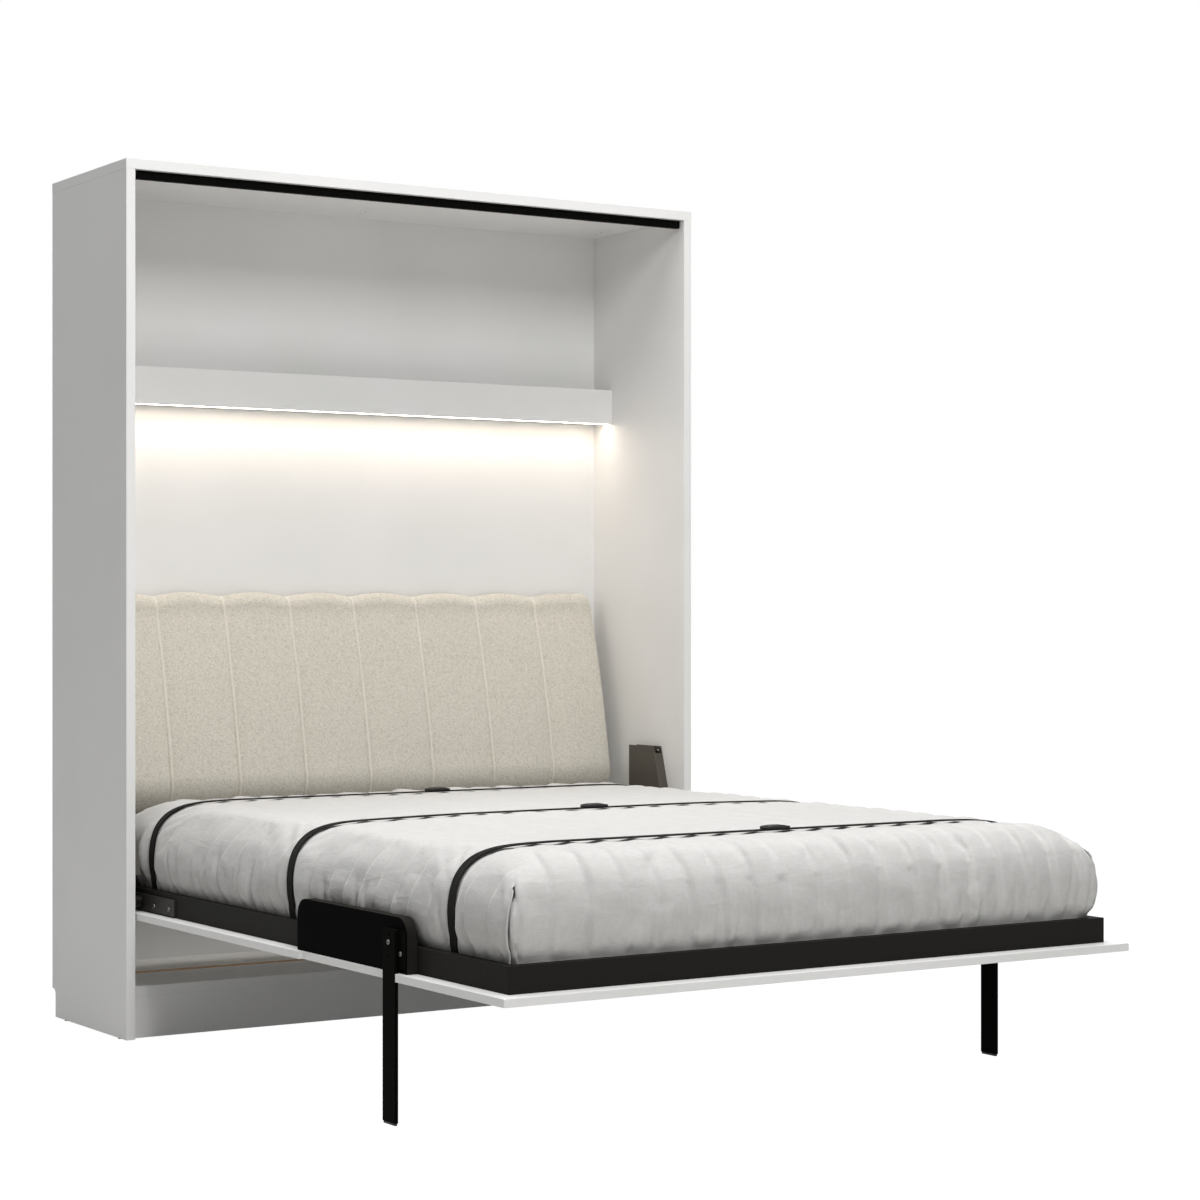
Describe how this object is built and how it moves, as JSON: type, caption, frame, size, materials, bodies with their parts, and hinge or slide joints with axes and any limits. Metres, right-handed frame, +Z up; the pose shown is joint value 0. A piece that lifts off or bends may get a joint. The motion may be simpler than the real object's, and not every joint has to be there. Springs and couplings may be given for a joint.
{
  "type": "wall bed",
  "caption": "Tall open cabinet with a lit ledge, a channelled padded headboard and a double bed on a panel that folds up into it on side pivots, with fold-out legs.",
  "frame": {"origin": "on the floor, midway across the width and midway between the foot of the lowered bed and the cabinet's back", "axes": "+Z up, +Y from the foot of the bed to the wall, +X to the right for someone who stands at the foot and looks at the cabinet"},
  "size_m": [1.75, 2.3328, 2.252],
  "materials": {
    "white_board": "smooth white melamine facing",
    "white_panel": "smooth white melamine facing",
    "raw_board": "raw chipboard and hardboard",
    "plywood": "plain plywood",
    "slat_wood": "planed birch",
    "black_board": "black facing",
    "black_steel": "matt black powder coat",
    "bracket_steel": "dark powder coat",
    "zinc_steel": "bright zinc",
    "strut_steel": "gloss black tube",
    "rod_steel": "ground bright rod",
    "aluminium": "brushed profile",
    "diffuser": "milky cover over warm lamps",
    "black_plastic": "moulded",
    "headboard_fabric": "cream looped upholstery",
    "mattress_fabric": "knitted ticking",
    "quilt_fabric": "light grey linen",
    "strap_web": "woven webbing"
  },
  "bodies": {
    "cabinet": {"left_side_panel": "white_board", "right_side_panel": "white_board", "top_panel": "white_board", "top_panel_fittings": "zinc_steel", "back_panel": "white_board", "wall_rail_upper": "raw_board", "wall_rail_lower": "raw_board", "front_plinth_board": "white_board", "rear_plinth_board": "white_board", "bottom_board": "white_board", "bottom_lining_sheet": "raw_board", "floor_glides": "black_plastic", "stop_strip": "black_board", "ledge_front_board": "white_board", "ledge_shelf_board": "white_board", "led_profile": "aluminium", "led_diffuser": "diffuser", "headboard_backing": "plywood", "headboard_cushion": "headboard_fabric", "left_lift_bracket": "bracket_steel", "right_lift_bracket": "bracket_steel", "lift_bracket_bolts": "zinc_steel", "left_pivot_pin": "zinc_steel", "right_pivot_pin": "zinc_steel", "left_strut_pin": "zinc_steel", "right_strut_pin": "zinc_steel"},
    "bed": {"front_panel_head_board": "white_panel", "front_panel_foot_board": "white_panel", "left_side_rail": "black_steel", "right_side_rail": "black_steel", "foot_rail": "black_steel", "head_end_plate": "black_steel", "left_slat_ledge": "black_steel", "right_slat_ledge": "black_steel", "centre_beam": "black_steel", "slats": "slat_wood", "mattress": "mattress_fabric", "quilt": "quilt_fabric", "strap_head": "strap_web", "strap_middle": "strap_web", "strap_foot": "strap_web", "strap_buckles": "black_plastic", "left_lever": "bracket_steel", "right_lever": "bracket_steel", "lever_bolts": "zinc_steel", "left_leg_board": "black_board", "right_leg_board": "black_board", "left_leg_plate": "black_steel", "right_leg_plate": "black_steel", "leg_bolts": "zinc_steel"},
    "left_leg": {"left_leg_bar": "black_steel", "left_leg_pad": "black_plastic"},
    "right_leg": {"right_leg_bar": "black_steel", "right_leg_pad": "black_plastic"},
    "left_cylinder": {"left_strut_cylinder": "strut_steel"},
    "right_cylinder": {"right_strut_cylinder": "strut_steel"},
    "left_rod": {"left_strut_rod": "rod_steel"},
    "right_rod": {"right_strut_rod": "rod_steel"}
  },
  "joints": [
    {"name": "bed_fold", "type": "hinge", "parent": "cabinet", "child": "bed", "pos_m": [0, 0.70575, 0.3519], "axis": [-1, 0, 0], "range_deg": [0, 90]},
    {"name": "left_leg_fold", "type": "hinge", "parent": "bed", "child": "left_leg", "pos_m": [-0.84, -0.68265, 0.39], "axis": [1, 0, 0], "range_deg": [0, 90]},
    {"name": "right_leg_fold", "type": "hinge", "parent": "bed", "child": "right_leg", "pos_m": [0.84, -0.68265, 0.39], "axis": [1, 0, 0], "range_deg": [0, 90]},
    {"name": "left_strut_swing", "type": "hinge", "parent": "cabinet", "child": "left_cylinder", "pos_m": [-0.835, 0.82135, 0.665], "axis": [-1, 0, 0], "range_deg": [0, 9.95]},
    {"name": "left_strut_slide", "type": "slide", "parent": "left_cylinder", "child": "left_rod", "axis": [0, -0.113, -0.9936], "range_m": [0, 0.0948]},
    {"name": "right_strut_swing", "type": "hinge", "parent": "cabinet", "child": "right_cylinder", "pos_m": [0.835, 0.82135, 0.665], "axis": [-1, 0, 0], "range_deg": [0, 9.95]},
    {"name": "right_strut_slide", "type": "slide", "parent": "right_cylinder", "child": "right_rod", "axis": [0, -0.113, -0.9936], "range_m": [0, 0.0948]}
  ],
  "couplings": [
    {"joint": "left_strut_swing", "follows": "bed_fold", "ratio": 0.11},
    {"joint": "left_strut_slide", "follows": "bed_fold", "m_per_rad": 0.060242},
    {"joint": "right_strut_swing", "follows": "bed_fold", "ratio": 0.11},
    {"joint": "right_strut_slide", "follows": "bed_fold", "m_per_rad": 0.060242}
  ]
}
